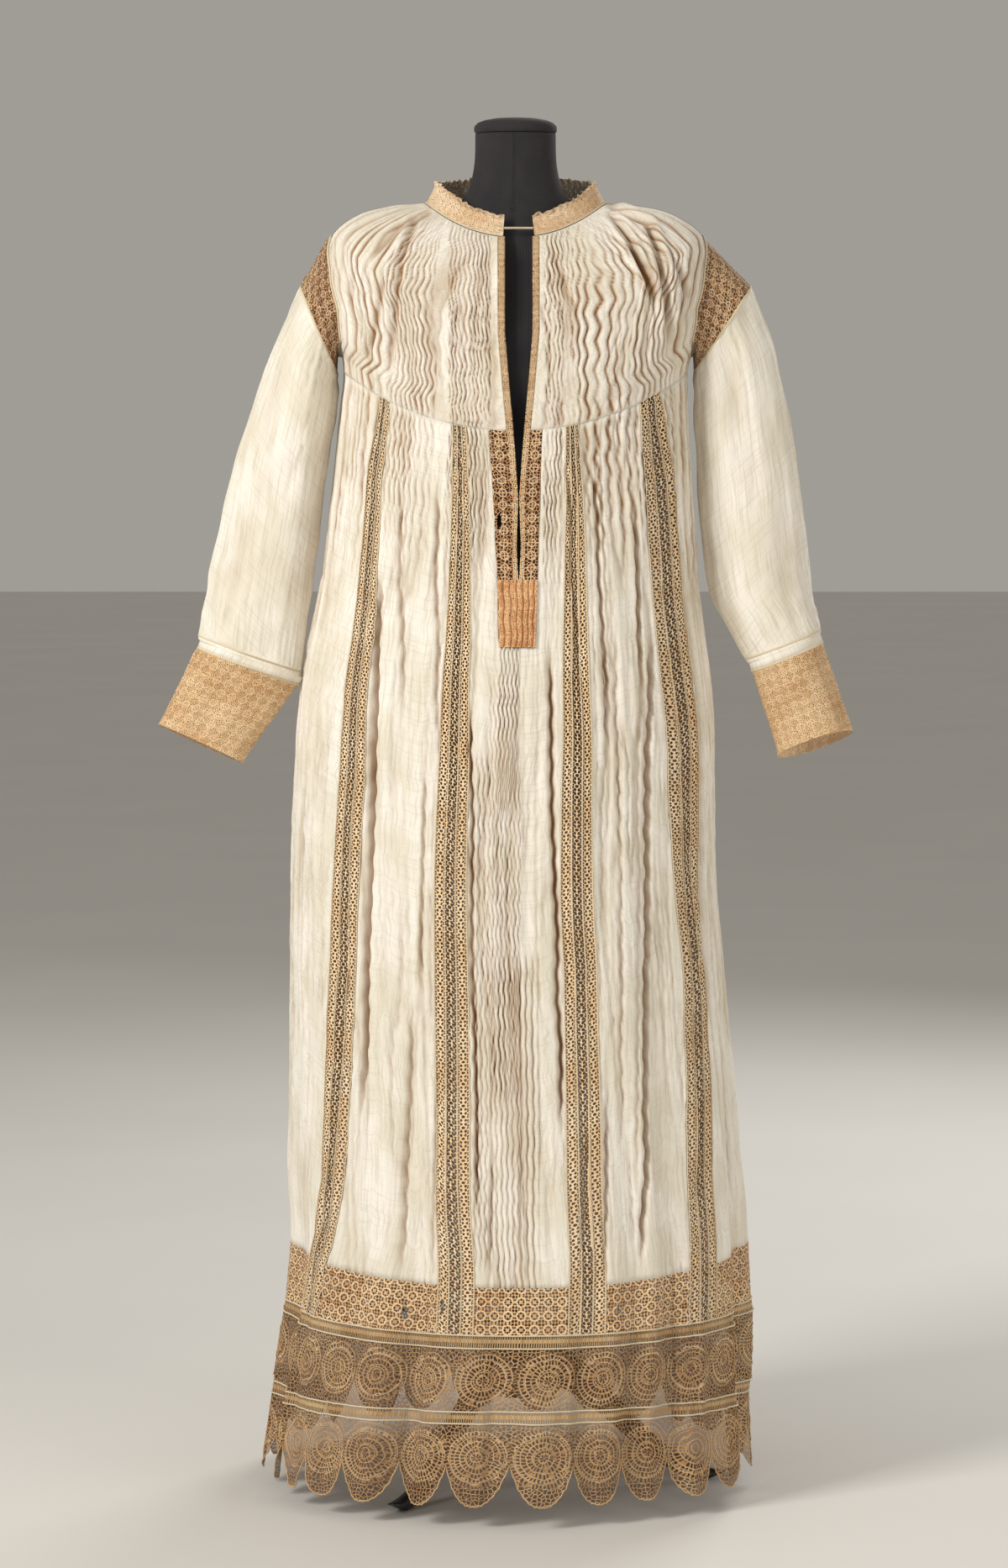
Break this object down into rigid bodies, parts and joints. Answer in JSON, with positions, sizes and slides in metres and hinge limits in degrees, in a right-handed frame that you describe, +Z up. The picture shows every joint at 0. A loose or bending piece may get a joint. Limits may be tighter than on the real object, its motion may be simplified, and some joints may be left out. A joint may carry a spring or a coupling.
{
  "type": "alb on a dress form",
  "caption": "Linen alb with a pleated yoke, lace insertions, lace cuffs and a scalloped lace flounce, on a limbless dress form with a tripod stand.",
  "frame": {"origin": "on the floor under the middle of the whole object's box", "axes": "+Z up, the garment's front faces -Y, +X is to the right for someone who faces it"},
  "size_m": [0.8492, 0.611, 1.675],
  "materials": {
    "linen": "fine plain-weave linen, matt",
    "bobbin_lace": "tan bobbin lace, matt",
    "insertion_lace": "tan drawn lace with white cord edges, matt",
    "cuff_lace": "dense ochre lace, matt",
    "form_jersey": "charcoal jersey",
    "stand_enamel": "glossy black enamel"
  },
  "bodies": {
    "root": {"yoke_front_left": "linen", "yoke_back_left": "linen", "shoulder_strip_left": "cuff_lace", "slit_edging_left": "insertion_lace", "centre_lace_left": "insertion_lace", "yoke_front_right": "linen", "yoke_back_right": "linen", "shoulder_strip_right": "cuff_lace", "slit_edging_right": "insertion_lace", "centre_lace_right": "insertion_lace", "centre_gusset": "insertion_lace", "neckband_left": "bobbin_lace", "neckband_right": "bobbin_lace", "neck_tie": "linen", "skirt_front_left": "linen", "hem_lace_front_left": "bobbin_lace", "skirt_front_centre": "linen", "hem_lace_front_centre": "bobbin_lace", "skirt_front_right": "linen", "hem_lace_front_right": "bobbin_lace", "skirt_side_right": "linen", "hem_lace_side_right": "bobbin_lace", "skirt_back_right": "linen", "hem_lace_back_right": "bobbin_lace", "skirt_back_centre": "linen", "hem_lace_back_centre": "bobbin_lace", "skirt_back_left": "linen", "hem_lace_back_left": "bobbin_lace", "skirt_side_left": "linen", "hem_lace_side_left": "bobbin_lace", "insertion_front_outer_left": "insertion_lace", "insertion_front_inner_left": "insertion_lace", "insertion_front_inner_right": "insertion_lace", "insertion_front_outer_right": "insertion_lace", "insertion_back_outer_right": "insertion_lace", "insertion_back_inner_right": "insertion_lace", "insertion_back_inner_left": "insertion_lace", "insertion_back_outer_left": "insertion_lace", "flounce_upper_left": "bobbin_lace", "flounce_lower_left": "bobbin_lace", "flounce_upper_right": "bobbin_lace", "flounce_lower_right": "bobbin_lace", "sleeve_lace_left": "cuff_lace", "sleeve_left": "linen", "sleeve_band_left": "linen", "cuff_left": "cuff_lace", "sleeve_lace_right": "cuff_lace", "sleeve_right": "linen", "sleeve_band_right": "linen", "cuff_right": "cuff_lace", "form_torso": "form_jersey", "form_neck_cap": "form_jersey", "stand_pole": "stand_enamel", "stand_base": "stand_enamel"}
  },
  "joints": []
}
